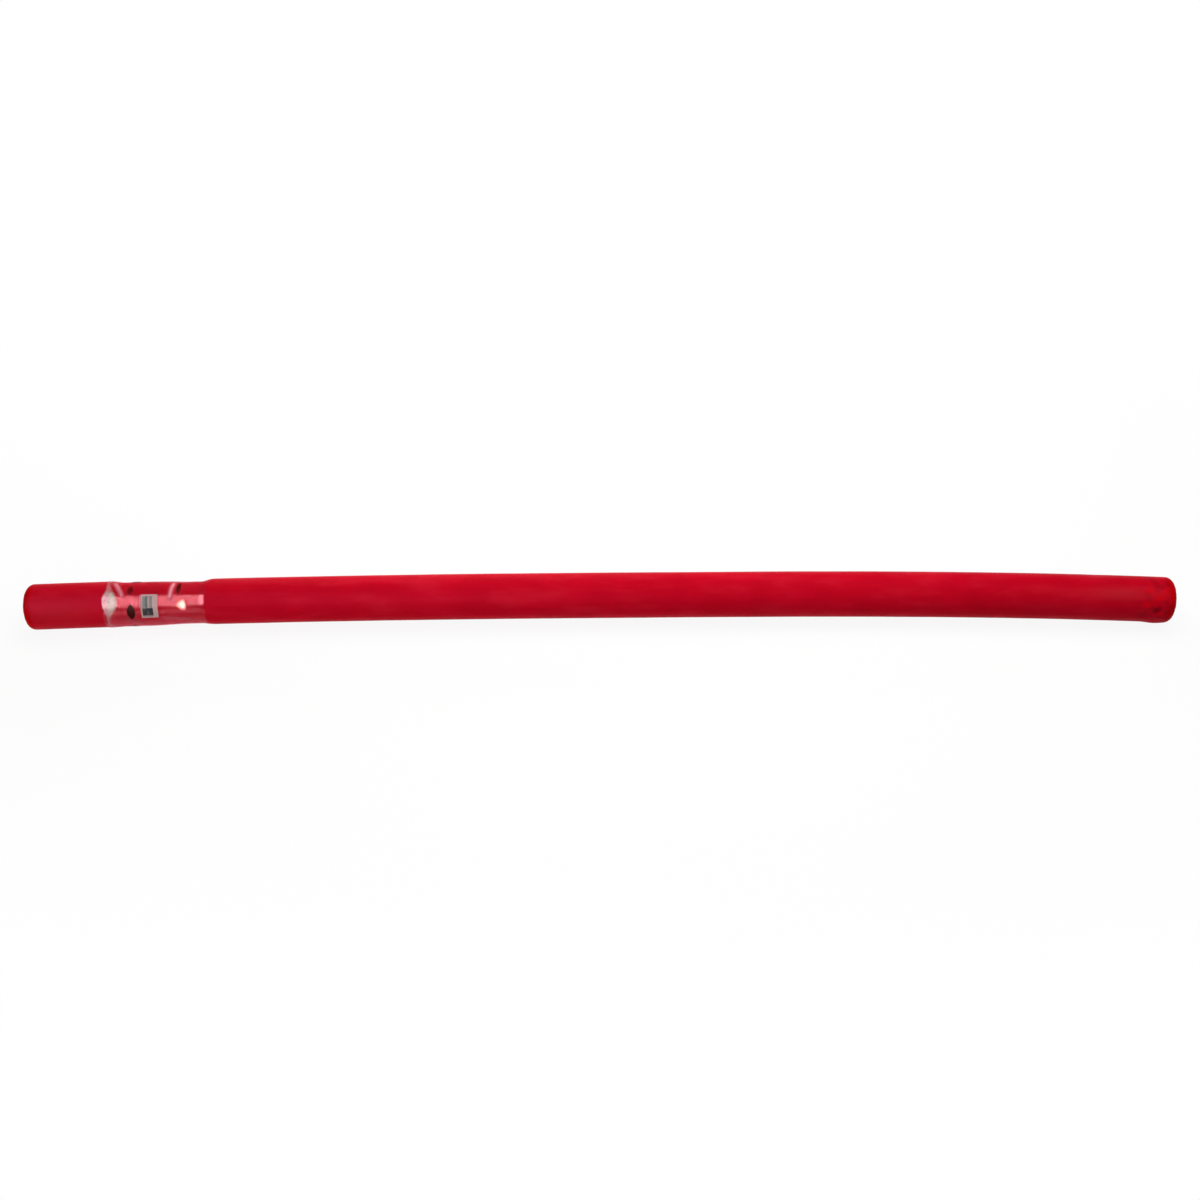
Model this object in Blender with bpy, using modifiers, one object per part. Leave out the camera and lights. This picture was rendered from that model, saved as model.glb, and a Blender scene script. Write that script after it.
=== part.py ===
"""Pool noodle: a slightly bowed tube of foam, with a shrunk film sleeve and a paper sticker.

The noodle lies on the ground along X. Its left end is at -X, and its film sleeve is near that end.
Distances along the noodle, called stations, are measured from its left end face.
"""

import math

import bmesh
import bpy
from mathutils import Vector

# Foam tube, cut square at both ends. The rim of each end is well rounded by the hot cut.
NOODLE_LENGTH = 1.500
NOODLE_DIAMETER = 0.060
BORE_DIAMETER = 0.022
END_ROUND = 0.009
BORE_EDGE_ROUND = 0.0012

# The bend that the foam keeps from storage, in the ground plane and away from the viewer.
# The apex is a share of the length. A fullness of 2 is a parabola, and more is flatter in the middle.
BOW_DEPTH = 0.0134
BOW_APEX = 0.60
BOW_FULLNESS = 2.6

# Film sleeve, shrunk round the foam.
SLEEVE_START = 0.104
SLEEVE_LENGTH = 0.131
FILM_THICKNESS = 0.0002

# How far the sleeve squeezes the foam, on the radius: a little past its left edge, and more towards
# its right edge. The foam recovers its full radius in a short run before the left edge, and in one
# that lies half inside and half outside the right edge.
LOOSE_SQUEEZE = 0.0013
LOOSE_RUN = 0.022
TIGHT_SQUEEZE = 0.0028
TIGHT_FROM = 0.053
TIGHT_RUN = 0.055
LEFT_RECOVERY_RUN = 0.006
RIGHT_RECOVERY_RUN = 0.014

# Paper sticker on the sleeve. Its middle is placed from the sleeve's left edge along the noodle, and
# by an angle up from the horizontal on the viewer's side.
STICKER_OFFSET = 0.0602
STICKER_ANGLE = math.radians(46.5)
STICKER_LENGTH = 0.0215
STICKER_HEIGHT = 0.0325
STICKER_CORNER = 0.002
STICKER_THICKNESS = 0.0002

# Gap between a piece and the one it is wrapped round.
CLEARANCE = 0.0003

# Fineness of the surfaces. The number of sides is even, so that a flat one faces the ground.
SIDES = 32
RING_SPACING = 0.075
SLEEVE_RING_SPACING = 0.0075
RECOVERY_STEPS = 3
ROUND_STEPS = 4
GUIDE_POINTS = 61
STICKER_COLUMNS = 4
STICKER_ROWS = 8
CORNER_STEPS = 3
MERGE_DISTANCE = 0.00001

NOODLE_RADIUS = NOODLE_DIAMETER / 2
BORE_RADIUS = BORE_DIAMETER / 2
SLEEVE_END = SLEEVE_START + SLEEVE_LENGTH
STICKER_STATION = SLEEVE_START + STICKER_OFFSET

# The film's left edge is sunk just under the foam's surface, so that the foam carries the noodle.
EDGE_SQUEEZE = FILM_THICKNESS + 2 * CLEARANCE

FOAM_RED = (0.46, 0.008, 0.022, 1.0)
FOAM_ROUGHNESS = 0.75
FILM_CLEAR = (0.90, 0.90, 0.92, 0.35)
FILM_ROUGHNESS = 0.15
PAPER_WHITE = (0.80, 0.79, 0.75, 1.0)
PAPER_ROUGHNESS = 0.60


def clear_scene():
    """Remove every object, so that the script can be run again in an open file."""
    for thing in list(bpy.data.objects):
        bpy.data.objects.remove(thing, do_unlink=True)


def new_collection(name):
    """Make a collection that is linked to the scene."""
    collection = bpy.data.collections.new(name)
    bpy.context.scene.collection.children.link(collection)
    return collection


def new_material(name, color, roughness):
    """Make a Principled material for a part that isn't metal."""
    material = bpy.data.materials.new(name)
    material.use_nodes = True
    shader = material.node_tree.nodes["Principled BSDF"]
    shader.inputs["Base Color"].default_value = color
    shader.inputs["Roughness"].default_value = roughness
    shader.inputs["Metallic"].default_value = 0.0
    shader.inputs["Alpha"].default_value = color[3]
    material.diffuse_color = color
    return material


def ease(share):
    """Smooth step from 0 to 1."""
    share = min(max(share, 0.0), 1.0)
    return share * share * (3.0 - 2.0 * share)


def spread(start, end, spacing):
    """Evenly spaced stations from start to end, both included."""
    count = max(1, math.ceil((end - start) / spacing - 1e-9))
    return [start + (end - start) * i / count for i in range(count + 1)]


def squeeze(station):
    """How far the sleeve presses the foam in at a station."""
    inside = station - SLEEVE_START
    edge = EDGE_SQUEEZE * ease(1.0 + inside / LEFT_RECOVERY_RUN)
    loose = LOOSE_SQUEEZE * ease(inside / LOOSE_RUN)
    tight = (TIGHT_SQUEEZE - LOOSE_SQUEEZE) * ease((inside - TIGHT_FROM) / TIGHT_RUN)
    recovered = ease(0.5 + (inside - SLEEVE_LENGTH) / RIGHT_RECOVERY_RUN)
    return (max(edge, loose) + tight) * (1.0 - recovered)


def foam_radius(station):
    """Outer radius of the foam between its end rounds."""
    return NOODLE_RADIUS - squeeze(station)


def film_radius(station):
    """Inner radius of the film, clear of the foam."""
    return foam_radius(station) + CLEARANCE


def sticker_radius(station):
    """Inner radius of the sticker, clear of the film."""
    return film_radius(station) + FILM_THICKNESS + CLEARANCE


def sleeve_stations():
    """Stations of the rings that the foam and the film share under the sleeve."""
    return spread(SLEEVE_START, SLEEVE_END, SLEEVE_RING_SPACING)


def body_stations():
    """Stations of the foam's rings between the rounds of its ends."""
    dip = SLEEVE_START - LEFT_RECOVERY_RUN
    rise = SLEEVE_END + RIGHT_RECOVERY_RUN / 2
    left = spread(END_ROUND, dip, RING_SPACING)
    into_sleeve = spread(dip, SLEEVE_START, (SLEEVE_START - dip) / RECOVERY_STEPS)
    out_of_sleeve = spread(SLEEVE_END, rise, (rise - SLEEVE_END) / RECOVERY_STEPS)
    right = spread(rise, NOODLE_LENGTH - END_ROUND, RING_SPACING)
    return left[:-1] + into_sleeve[:-1] + sleeve_stations()[:-1] + out_of_sleeve[:-1] + right


def corner(centre, radius, start_angle):
    """A quarter round in the plane of station and radius, turning anticlockwise."""
    angles = [start_angle + math.radians(90.0) * i / ROUND_STEPS for i in range(ROUND_STEPS + 1)]
    return [(centre[0] + radius * math.cos(a), centre[1] + radius * math.sin(a)) for a in angles]


def foam_outline():
    """Closed outline of the foam wall, anticlockwise: bore, right end, outside, left end."""
    inner = BORE_RADIUS + BORE_EDGE_ROUND
    outer = NOODLE_RADIUS - END_ROUND
    far = NOODLE_LENGTH
    bore = [(s, BORE_RADIUS) for s in spread(BORE_EDGE_ROUND, far - BORE_EDGE_ROUND, RING_SPACING)]
    right_lip = corner((far - BORE_EDGE_ROUND, inner), BORE_EDGE_ROUND, math.radians(-90.0))
    right_rim = corner((far - END_ROUND, outer), END_ROUND, 0.0)
    outside = [(s, foam_radius(s)) for s in reversed(body_stations())]
    left_rim = corner((END_ROUND, outer), END_ROUND, math.radians(90.0))
    left_lip = corner((BORE_EDGE_ROUND, inner), BORE_EDGE_ROUND, math.radians(180.0))
    return bore[:-1] + right_lip + right_rim[:-1] + outside[:-1] + left_rim + left_lip[:-1]


def film_outline():
    """Open outline of the film's inner face, from right to left."""
    return [(s, film_radius(s)) for s in reversed(sleeve_stations())]


def make_object(name, mesh, collection, material):
    """Make a named object for one part."""
    thing = bpy.data.objects.new(name, mesh)
    collection.objects.link(thing)
    mesh.materials.append(material)
    return thing


def turned(name, outline, closed, collection, material):
    """Turn an outline round the noodle's axis with a Screw modifier."""
    half_side = math.pi / SIDES
    mesh = bpy.data.meshes.new(name)
    bm = bmesh.new()
    points = [bm.verts.new((s, -r * math.sin(half_side), r * math.cos(half_side))) for s, r in outline]
    for first, second in zip(points, points[1:]):
        bm.edges.new((first, second))
    if closed:
        bm.edges.new((points[-1], points[0]))
    bm.to_mesh(mesh)
    bm.free()
    thing = make_object(name, mesh, collection, material)
    screw = thing.modifiers.new("Turn", "SCREW")
    screw.axis = "X"
    screw.steps = SIDES
    screw.render_steps = SIDES
    screw.use_smooth_shade = True
    screw.use_merge_vertices = True
    screw.merge_threshold = MERGE_DISTANCE
    return thing


def thicken(thing, thickness):
    """Give an open surface its wall, on the side away from the noodle's axis."""
    wall = thing.modifiers.new("Wall", "SOLIDIFY")
    wall.thickness = thickness
    wall.offset = 1.0


def make_sticker(collection, material):
    """Roll a flat sheet with rounded corners onto the sleeve."""
    mesh = bpy.data.meshes.new("barcode_sticker")
    bm = bmesh.new()
    bmesh.ops.create_grid(bm, x_segments=STICKER_COLUMNS, y_segments=STICKER_ROWS, size=0.5)
    bmesh.ops.scale(bm, vec=(STICKER_LENGTH, STICKER_HEIGHT, 1.0), verts=bm.verts)
    corners = [v for v in bm.verts if len(v.link_faces) == 1]
    bmesh.ops.bevel(bm, geom=corners, offset=STICKER_CORNER, offset_type="OFFSET",
                    segments=CORNER_STEPS, profile=0.5, affect="VERTICES", material=-1)
    for v in bm.verts:
        station = STICKER_STATION + v.co.x
        radius = sticker_radius(station)
        angle = STICKER_ANGLE + v.co.y / sticker_radius(STICKER_STATION)
        v.co = Vector((station, -radius * math.cos(angle), radius * math.sin(angle)))
    bm.to_mesh(mesh)
    bm.free()
    mesh.shade_smooth()
    sticker = make_object("barcode_sticker", mesh, collection, material)
    thicken(sticker, STICKER_THICKNESS)
    return sticker


def bow(share):
    """Sideways offset of the noodle's axis at a share of its length, zero at both ends."""
    side = BOW_APEX if share < BOW_APEX else 1.0 - BOW_APEX
    return BOW_DEPTH * (1.0 - (abs(share - BOW_APEX) / side) ** BOW_FULLNESS)


def make_axis_guide(collection):
    """The noodle's bowed axis as a curve, which the parts are bent along."""
    data = bpy.data.curves.new("bowed_axis", "CURVE")
    data.dimensions = "3D"
    data.twist_mode = "Z_UP"
    spline = data.splines.new("POLY")
    spline.points.add(GUIDE_POINTS - 1)
    for i, point in enumerate(spline.points):
        share = i / (GUIDE_POINTS - 1)
        point.co = ((share - 0.5) * NOODLE_LENGTH, bow(share), 0.0, 1.0)
    guide = bpy.data.objects.new("bowed_axis", data)
    guide.hide_render = True
    guide.display_type = "WIRE"
    collection.objects.link(guide)
    return guide


def bend(thing, guide):
    """Bend a straight part along the bowed axis."""
    curve = thing.modifiers.new("Bow", "CURVE")
    curve.object = guide
    curve.deform_axis = "POS_X"


def stand_on_ground(parts, root):
    """Move the noodle so that its box stands centred on the origin."""
    depsgraph = bpy.context.evaluated_depsgraph_get()
    points = []
    for part in parts:
        shape = part.evaluated_get(depsgraph)
        points += [shape.matrix_world @ v.co for v in shape.data.vertices]
    low = Vector([min(p[axis] for p in points) for axis in range(3)])
    high = Vector([max(p[axis] for p in points) for axis in range(3)])
    root.location = (-(low.x + high.x) / 2, -(low.y + high.y) / 2, -low.z)


def main():
    clear_scene()
    parts_collection = new_collection("pool_noodle")
    guides_collection = new_collection("guides")
    foam = turned("foam_noodle", foam_outline(), True, parts_collection,
                  new_material("red_foam", FOAM_RED, FOAM_ROUGHNESS))
    sleeve = turned("film_sleeve", film_outline(), False, parts_collection,
                    new_material("clear_film", FILM_CLEAR, FILM_ROUGHNESS))
    thicken(sleeve, FILM_THICKNESS)
    sticker = make_sticker(parts_collection,
                           new_material("sticker_paper", PAPER_WHITE, PAPER_ROUGHNESS))
    guide = make_axis_guide(guides_collection)
    parts = [foam, sleeve, sticker]
    root = bpy.data.objects.new("noodle_root", None)
    guides_collection.objects.link(root)
    for thing in parts + [guide]:
        thing.parent = root
    for part in parts:
        bend(part, guide)
    stand_on_ground(parts, root)


main()
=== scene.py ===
"""Pool noodle lying on a pale floor: bowed foam tube, printed shrink film sleeve and paper sticker.

The noodle lies along X with its sleeve near the left end, at -X, and the viewer is on the -Y side.
A station is a distance along the noodle from its left end face. An angle goes round the noodle: it is
0 on the viewer's side, 90 degrees on top, 180 degrees at the back and -90 degrees underneath.
All sizes are in metres.
"""

import bisect
import math
import random
from collections import namedtuple

import bmesh
import bpy
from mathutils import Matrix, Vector, noise


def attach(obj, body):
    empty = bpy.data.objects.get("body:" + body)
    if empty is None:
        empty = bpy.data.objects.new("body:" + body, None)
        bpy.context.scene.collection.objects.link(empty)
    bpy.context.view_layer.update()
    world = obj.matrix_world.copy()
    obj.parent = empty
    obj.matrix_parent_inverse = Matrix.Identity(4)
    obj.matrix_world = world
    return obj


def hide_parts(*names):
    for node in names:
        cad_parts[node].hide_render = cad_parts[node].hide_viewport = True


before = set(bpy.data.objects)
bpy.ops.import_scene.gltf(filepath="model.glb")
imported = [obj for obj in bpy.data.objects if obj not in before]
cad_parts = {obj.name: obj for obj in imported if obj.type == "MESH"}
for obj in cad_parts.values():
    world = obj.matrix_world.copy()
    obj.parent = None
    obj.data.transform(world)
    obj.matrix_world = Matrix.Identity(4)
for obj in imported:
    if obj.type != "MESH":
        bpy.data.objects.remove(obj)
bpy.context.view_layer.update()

# Foam tube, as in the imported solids.
NOODLE_LENGTH = 1.500
NOODLE_RADIUS = 0.030
BORE_RADIUS = 0.011
END_ROUND = 0.009
BORE_EDGE_ROUND = 0.0012
BOW_DEPTH = 0.0134
BOW_APEX = 0.60
BOW_FULLNESS = 2.6

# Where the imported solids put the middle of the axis's chord.
AXIS_SHIFT = Vector((0.0000101, -0.0068805, 0.0298555))

# Film sleeve and the waist that it squeezes into the foam.
SLEEVE_START = 0.104
SLEEVE_LENGTH = 0.131
SLEEVE_END = SLEEVE_START + SLEEVE_LENGTH
FILM_THICKNESS = 0.0002
LOOSE_SQUEEZE = 0.0013
LOOSE_RUN = 0.022
TIGHT_SQUEEZE = 0.0028
TIGHT_FROM = 0.053
TIGHT_RUN = 0.055
RECOVERY_RUN = 0.017
RECOVERY_LEAD = 0.0015
CLEARANCE = 0.0003

# The sleeve presses more from above and behind, so the waist lies a little low and forward.
WAIST_SHIFT = 0.0008
WAIST_SHIFT_ANGLE = math.radians(-35.0)

# Paper sticker on the sleeve.
STICKER_STATION = SLEEVE_START + 0.0602
STICKER_ANGLE = math.radians(46.5)
STICKER_LENGTH = 0.0215
STICKER_HEIGHT = 0.0325
STICKER_CORNER = 0.002
STICKER_THICKNESS = 0.0002
STICKER_GAP = 0.00008

# How near the floor the foam's flattened underside lies.
FLOOR_CONTACT = 0.00006

# Fineness of the visible surfaces.
AXIS_STEPS = 600
FOAM_SIDES = 128
SKIN_RING_SPACING = 0.0032
BORE_RING_SPACING = 0.020
RIM_STEPS = 12
BORE_EDGE_STEPS = 3
END_FACE_RINGS = 7
FILM_SIDES = 208
FILM_RING_SPACING = 0.0009
STICKER_COLUMNS = 20
STICKER_ROWS = 26
STICKER_CORNER_STEPS = 4
MERGE_DISTANCE = 0.00001

# Camera of the photograph, fitted to the silhouette.
PICTURE_PIXELS = 1200
CAMERA_DISTANCE = 1.90
CAMERA_ELEVATION = math.radians(55.0)
CAMERA_TURN = math.radians(-0.44)
METRES_PER_PIXEL = 0.0013197
NOODLE_MIDDLE_PIXEL = (600.85, 595.3)
SENSOR_WIDTH = 36.0
CLIP_START = 0.05
CLIP_END = 100.0


# Shapes that the pieces share.

def ease(share):
    """Smooth step from 0 to 1."""
    share = min(max(share, 0.0), 1.0)
    return share * share * (3.0 - 2.0 * share)


def hump(distance, width):
    """A smooth hump, 1 in its middle and 0 from width on."""
    return ease(1.0 - abs(distance) / width)


def turn_between(first, second):
    """Shortest turn from one angle to another."""
    return (second - first + math.pi) % (2.0 * math.pi) - math.pi


def wave(length, angle, along, around, shift=0.0):
    """A random wave from -1 to 1 on the noodle. Along and around say how close its crests lie."""
    return noise.noise(Vector((length * along, math.cos(angle) * around, math.sin(angle) * around + shift)))


def ring_wave(angle, around, shift):
    """A random wave from -1 to 1 that changes only round the noodle."""
    return noise.noise(Vector((math.cos(angle) * around, math.sin(angle) * around, shift)))


def bow(share):
    """Sideways offset of the noodle's axis at a share of its length, zero at both ends."""
    side = BOW_APEX if share < BOW_APEX else 1.0 - BOW_APEX
    return BOW_DEPTH * (1.0 - (abs(share - BOW_APEX) / side) ** BOW_FULLNESS)


def axis_points():
    """Points along the bowed axis, and the length of the axis up to each."""
    points = []
    for i in range(AXIS_STEPS + 1):
        share = i / AXIS_STEPS
        points.append(Vector(((share - 0.5) * NOODLE_LENGTH, bow(share), 0.0)) + AXIS_SHIFT)
    runs = [0.0]
    for first, second in zip(points, points[1:]):
        runs.append(runs[-1] + (second - first).length)
    return points, runs


AXIS_POINTS, AXIS_RUNS = axis_points()


def on_noodle(station, radius, angle):
    """A point at a radius and an angle round the bowed axis."""
    i = min(max(bisect.bisect_right(AXIS_RUNS, station) - 1, 0), len(AXIS_RUNS) - 2)
    step = AXIS_POINTS[i + 1] - AXIS_POINTS[i]
    along = (station - AXIS_RUNS[i]) / (AXIS_RUNS[i + 1] - AXIS_RUNS[i])
    before = AXIS_POINTS[max(i - 1, 0)]
    after = AXIS_POINTS[min(i + 2, len(AXIS_POINTS) - 1)]
    heading = (after - before).normalized()
    away_from_viewer = Vector((-heading.y, heading.x, 0.0))
    across = -radius * math.cos(angle)
    up = radius * math.sin(angle)
    return AXIS_POINTS[i] + step * along + away_from_viewer * across + Vector((0.0, 0.0, up))


def rest_on_floor(point, lowest):
    """Lift a point to the lowest height that the floor leaves it."""
    point.z = max(point.z, lowest)
    return point


def squeeze(station, angle):
    """How far the sleeve presses the foam in at a place."""
    inside = station - SLEEVE_START
    loose = LOOSE_SQUEEZE * ease(inside / LOOSE_RUN)
    tight = (TIGHT_SQUEEZE - LOOSE_SQUEEZE) * ease((inside - TIGHT_FROM) / TIGHT_RUN)
    shift = WAIST_SHIFT * ease(inside / LOOSE_RUN) * math.cos(angle - WAIST_SHIFT_ANGLE)
    recovered = ease(0.5 + (inside - SLEEVE_LENGTH + RECOVERY_LEAD) / RECOVERY_RUN)
    return (loose + tight - shift) * (1.0 - recovered)


def round_corners(bm, corners, radius, steps):
    """Round corners of a flat outline."""
    bmesh.ops.bevel(bm, geom=corners, offset=radius, offset_type="OFFSET", segments=steps, profile=0.5,
                    affect="VERTICES", material=-1)


def spin_round(bm, sides):
    """Spin an outline once round the noodle's straight axis and close the seam."""
    bmesh.ops.spin(bm, geom=bm.verts[:] + bm.edges[:], cent=(0.0, 0.0, 0.0), axis=(1.0, 0.0, 0.0),
                   dvec=(0.0, 0.0, 0.0), angle=2.0 * math.pi, steps=sides,
                   use_merge=True, use_normal_flip=False, use_duplicate=False)
    bmesh.ops.remove_doubles(bm, verts=bm.verts, dist=MERGE_DISTANCE)
    bmesh.ops.recalc_face_normals(bm, faces=bm.faces)


def build_object(name, bm):
    """Turn a finished bmesh into an object at the origin."""
    mesh = bpy.data.meshes.new(name)
    bm.to_mesh(mesh)
    bm.free()
    mesh.shade_smooth()
    thing = bpy.data.objects.new(name, mesh)
    bpy.context.scene.collection.objects.link(thing)
    return thing


def thicken(thing, name, thickness):
    """Give a thin piece its thickness, outwards."""
    wall = thing.modifiers.new(name, "SOLIDIFY")
    wall.thickness = thickness
    wall.offset = 1.0


# Materials are written as recipes.

WHITE = (1.0, 1.0, 1.0, 1.0)


class Recipe:
    """The node tree of a material or of the world, with short calls that add and join its nodes."""

    def __init__(self, owner):
        self.owner = owner
        owner.use_nodes = True
        self.tree = owner.node_tree
        self.tree.nodes.clear()

    def put(self, socket, value):
        """Set a socket to a value, or join it to another node's output."""
        if isinstance(value, bpy.types.NodeSocket):
            self.tree.links.new(value, socket)
        else:
            socket.default_value = value

    def add(self, kind, inputs=None, **settings):
        """Add a node. An input is a value or another node's output, by its name or number."""
        node = self.tree.nodes.new(kind)
        for key, value in settings.items():
            setattr(node, key, value)
        for key, value in (inputs or {}).items():
            self.put(node.inputs[key], value)
        return node

    def math(self, operation, *values, clamp=False):
        """A Math node's output."""
        inputs = dict(enumerate(values))
        return self.add("ShaderNodeMath", inputs, operation=operation, use_clamp=clamp).outputs[0]

    def length(self, vector):
        """The length of a vector."""
        return self.add("ShaderNodeVectorMath", {"Vector": vector}, operation="LENGTH").outputs["Value"]

    def between(self, value, low, high, new_low=0.0, new_high=1.0):
        """Map a value smoothly from one range to another."""
        inputs = dict(enumerate((value, low, high, new_low, new_high)))
        return self.add("ShaderNodeMapRange", inputs, interpolation_type="SMOOTHSTEP").outputs[0]

    def blend(self, share, first, second):
        """A mix of two colours."""
        inputs = {"Factor": share, "A": first, "B": second}
        node = self.add("ShaderNodeMix", inputs, data_type="RGBA")
        return next(output for output in node.outputs if output.type == "RGBA")

    def object_place(self):
        """The place on the piece, in Object coordinates."""
        return self.add("ShaderNodeTexCoord").outputs["Object"]

    def map_place(self, name):
        """The place in the piece's own UV map."""
        return self.add("ShaderNodeUVMap", uv_map=name).outputs[0]

    def mark(self, name):
        """A number that the piece's own points carry."""
        return self.add("ShaderNodeAttribute", attribute_name=name).outputs["Fac"]

    def stretched(self, place, scale):
        """A place scaled along each axis, so that a pattern is longer where the scale is small."""
        return self.add("ShaderNodeMapping", {"Vector": place, "Scale": scale}).outputs[0]

    def split(self, vector):
        """The parts X, Y and Z of a vector."""
        return self.add("ShaderNodeSeparateXYZ", {"Vector": vector}).outputs

    def clouds(self, place, scale, detail):
        """A cloudy pattern from 0 to 1."""
        inputs = {"Vector": place, "Scale": scale, "Detail": detail}
        return self.add("ShaderNodeTexNoise", inputs).outputs["Fac"]

    def cells(self, place, scale, feature):
        """The outputs of a pattern of cells."""
        inputs = {"Vector": place, "Scale": scale}
        return self.add("ShaderNodeTexVoronoi", inputs, feature=feature).outputs

    def bump(self, height, strength, distance):
        """The normal that a bump gives."""
        inputs = {"Height": height, "Strength": strength, "Distance": distance}
        return self.add("ShaderNodeBump", inputs).outputs[0]

    def shader(self, kind, inputs):
        """A shader's output."""
        return self.add(kind, inputs).outputs[0]

    def mix_shaders(self, share, first, second):
        """A mix of two shaders."""
        return self.shader("ShaderNodeMixShader", {0: share, 1: first, 2: second})

    def finish(self, shader, output="ShaderNodeOutputMaterial"):
        """Join the shader to the surface and give the material or the world back."""
        self.add(output, {"Surface": shader})
        return self.owner


# Camera, floor and light.

def make_camera():
    """Camera at the photograph's viewing angle."""
    back = Vector((math.sin(CAMERA_TURN) * math.cos(CAMERA_ELEVATION),
                   -math.cos(CAMERA_TURN) * math.cos(CAMERA_ELEVATION),
                   math.sin(CAMERA_ELEVATION)))
    right = Vector((math.cos(CAMERA_TURN), math.sin(CAMERA_TURN), 0.0))
    upward = back.cross(right)
    middle = Vector((0.0, bow(0.5), 0.0)) + AXIS_SHIFT
    half = PICTURE_PIXELS / 2
    aim = middle + right * (half - NOODLE_MIDDLE_PIXEL[0]) * METRES_PER_PIXEL
    aim += upward * (NOODLE_MIDDLE_PIXEL[1] - half) * METRES_PER_PIXEL
    data = bpy.data.cameras.new("photo_camera")
    data.sensor_width = SENSOR_WIDTH
    data.lens = SENSOR_WIDTH * CAMERA_DISTANCE / (PICTURE_PIXELS * METRES_PER_PIXEL)
    data.clip_start = CLIP_START
    data.clip_end = CLIP_END
    camera = bpy.data.objects.new("photo_camera", data)
    bpy.context.scene.collection.objects.link(camera)
    camera.location = aim + back * CAMERA_DISTANCE
    camera.rotation_mode = "QUATERNION"
    camera.rotation_quaternion = (-back).to_track_quat("-Z", "Y")
    bpy.context.scene.camera = camera


FLOOR_RADIUS = 30.0
FLOOR_SIDES = 96

# The floor's colour in the light that it throws back on the noodle.
FLOOR_GREY = (0.60, 0.60, 0.60, 1.0)

# How white the floor shows beside the noodle, and the oval round it in which it fades to plain white.
FLOOR_WHITENESS = 0.91
FLOOR_FADE_SCALE = (0.33, 1.0, 1.0)
FLOOR_FADE_FROM = 0.22
FLOOR_FADE_TO = 0.60


def floor_material():
    """Pale floor that keeps the noodle's soft shadow and fades to plain white away from it."""
    recipe = Recipe(bpy.data.materials.new("pale_floor"))
    path = recipe.add("ShaderNodeLightPath").outputs
    seen = recipe.math("MAXIMUM", path["Is Camera Ray"], path["Is Glossy Ray"])
    seen = recipe.math("MAXIMUM", seen, path["Is Transmission Ray"])
    away = recipe.length(recipe.stretched(recipe.object_place(), FLOOR_FADE_SCALE))
    whiteness = recipe.between(away, FLOOR_FADE_FROM, FLOOR_FADE_TO, FLOOR_WHITENESS, 1.0)
    matte = recipe.shader("ShaderNodeBsdfDiffuse", {"Color": recipe.blend(seen, FLOOR_GREY, WHITE)})
    white = recipe.shader("ShaderNodeEmission", {"Color": WHITE, "Strength": 1.0})
    return recipe.finish(recipe.mix_shaders(recipe.math("MULTIPLY", seen, whiteness), matte, white))


def make_floor():
    """A wide round floor."""
    bm = bmesh.new()
    bmesh.ops.create_circle(bm, cap_ends=True, segments=FLOOR_SIDES, radius=FLOOR_RADIUS)
    floor = build_object("floor", bm)
    floor.data.materials.append(floor_material())


# Strength of the light that comes evenly from all sides.
EVEN_LIGHT = 0.06

# How white the room shows in gloss: walls up to one height of the ray's direction, a ceiling from another.
WALL_WHITENESS = 0.16
WALL_TOP = 0.40
CEILING_WHITENESS = 0.08
CEILING_EDGE = 0.75


def make_world():
    """Dim even light on a white background, where gloss sees dim walls and a dimmer ceiling."""
    recipe = Recipe(bpy.data.worlds.new("pale_studio"))
    path = recipe.add("ShaderNodeLightPath").outputs
    straight = recipe.math("MAXIMUM", path["Is Camera Ray"], path["Is Transmission Ray"])
    height = recipe.split(recipe.add("ShaderNodeTexCoord").outputs["Generated"])["Z"]
    room = recipe.between(height, WALL_TOP, CEILING_EDGE, WALL_WHITENESS, CEILING_WHITENESS)
    in_gloss = recipe.math("MULTIPLY", path["Is Glossy Ray"], room)
    seen = recipe.math("MAXIMUM", straight, in_gloss)
    fill = recipe.shader("ShaderNodeBackground", {"Color": WHITE, "Strength": EVEN_LIGHT})
    white = recipe.shader("ShaderNodeBackground", {"Color": WHITE, "Strength": 1.0})
    world = recipe.finish(recipe.mix_shaders(seen, fill, white), "ShaderNodeOutputWorld")
    bpy.context.scene.world = world


def add_softbox(name, place, aim, size, watts, colour=(1.0, 1.0, 1.0), on_matte=True, in_gloss=True):
    """A rectangular area lamp that faces a point. Matte surfaces or gloss can be kept from seeing it."""
    data = bpy.data.lights.new(name, "AREA")
    data.shape = "RECTANGLE"
    data.size, data.size_y = size
    data.energy = watts
    data.color = colour
    lamp = bpy.data.objects.new(name, data)
    bpy.context.scene.collection.objects.link(lamp)
    lamp.visible_camera = False
    lamp.visible_diffuse = on_matte
    lamp.visible_glossy = in_gloss
    lamp.location = place
    lamp.rotation_mode = "QUATERNION"
    lamp.rotation_quaternion = (Vector(aim) - Vector(place)).to_track_quat("-Z", "Y")


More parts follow.
